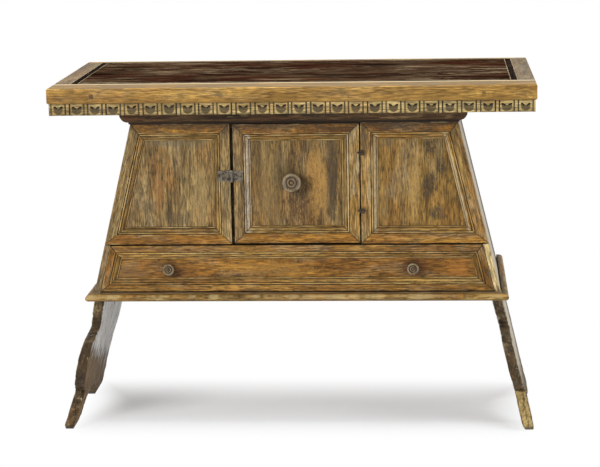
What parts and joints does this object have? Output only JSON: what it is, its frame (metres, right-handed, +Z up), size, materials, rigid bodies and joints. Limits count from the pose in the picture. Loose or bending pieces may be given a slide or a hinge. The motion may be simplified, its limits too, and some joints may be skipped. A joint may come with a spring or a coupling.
{
  "type": "table cabinet on plank legs",
  "caption": "Walnut table cabinet: overhanging framed top over a slant-sided case with a hinged panelled door, a long drawer and two shaped plank legs.",
  "frame": {"origin": "on the floor, midway between the feet and midway between the top's front and back edges", "axes": "+X to the object's right seen from the front, +Y from the front to the back, +Z up"},
  "size_m": [1.102, 0.56, 0.81],
  "materials": {
    "honey_walnut": "worn waxed walnut, honey brown",
    "worn_top": "dark red-brown, scratched and dry",
    "dark_band": "black stained inlay",
    "carved_walnut": "gouge-carved, dark in the cuts",
    "dark_walnut": "dark brown waxed",
    "leg_walnut": "waxed brown, paler where worn",
    "inner_softwood": "plain unfinished boards",
    "turned_walnut": "turned, greyish brown",
    "wrought_iron": "hand-forged, dark and dull"
  },
  "bodies": {
    "case": {"top_front_rail": "honey_walnut", "top_back_rail": "honey_walnut", "top_end_clamps": "honey_walnut", "left_panel_stiles": "honey_walnut", "left_panel_rails": "honey_walnut", "left_panel_moulding": "honey_walnut", "left_panel_field": "honey_walnut", "right_panel_stiles": "honey_walnut", "right_panel_rails": "honey_walnut", "right_panel_moulding": "honey_walnut", "right_panel_field": "honey_walnut", "left_edge_strip": "honey_walnut", "right_edge_strip": "honey_walnut", "base_moulding_front": "honey_walnut", "base_moulding_left": "honey_walnut", "base_moulding_right": "honey_walnut", "top_centre_board": "worn_top", "top_inlay_band": "dark_band", "carved_strip_front": "carved_walnut", "carved_strip_left": "carved_walnut", "carved_strip_right": "carved_walnut", "cornice_front": "dark_walnut", "cornice_left": "dark_walnut", "cornice_right": "dark_walnut", "frieze_rail_front": "dark_walnut", "left_cheek": "leg_walnut", "right_cheek": "leg_walnut", "frieze_rail_back": "inner_softwood", "top_bearers": "inner_softwood", "back_boards": "inner_softwood", "bottom_board": "inner_softwood", "dust_board": "inner_softwood", "case_top_board": "inner_softwood", "left_door_post": "inner_softwood", "right_door_post": "inner_softwood", "left_drawer_guide": "inner_softwood", "right_drawer_guide": "inner_softwood", "post_hinge_loops": "wrought_iron", "hasp_staple": "wrought_iron"},
    "door": {"door_hinge_stile": "honey_walnut", "door_lock_stile": "honey_walnut", "door_rails": "honey_walnut", "door_moulding": "honey_walnut", "door_field": "honey_walnut", "door_knob": "turned_walnut", "door_hinge_loops": "wrought_iron", "hasp_plate": "wrought_iron", "hasp_pin": "wrought_iron"},
    "hasp_leaf": {"hasp_leaf": "wrought_iron"},
    "drawer": {"drawer_front_board": "honey_walnut", "drawer_front_rails": "honey_walnut", "drawer_front_ends": "honey_walnut", "drawer_front_moulding": "honey_walnut", "drawer_left_side": "inner_softwood", "drawer_right_side": "inner_softwood", "drawer_back": "inner_softwood", "drawer_bottom": "inner_softwood", "drawer_knob_left": "turned_walnut", "drawer_knob_right": "turned_walnut"}
  },
  "joints": [
    {"name": "door_swing", "type": "hinge", "parent": "case", "child": "door", "pos_m": [0.1515, -0.197, 0.575], "axis": [0, 0, 1], "range_deg": [0, 165]},
    {"name": "hasp_swing", "type": "hinge", "parent": "door", "child": "hasp_leaf", "pos_m": [-0.144, -0.193, 0.594], "axis": [0, 0, 1], "range_deg": [0, 170]},
    {"name": "drawer_slide", "type": "slide", "parent": "case", "child": "drawer", "axis": [0, -1, 0], "range_m": [0, 0.28]}
  ]
}
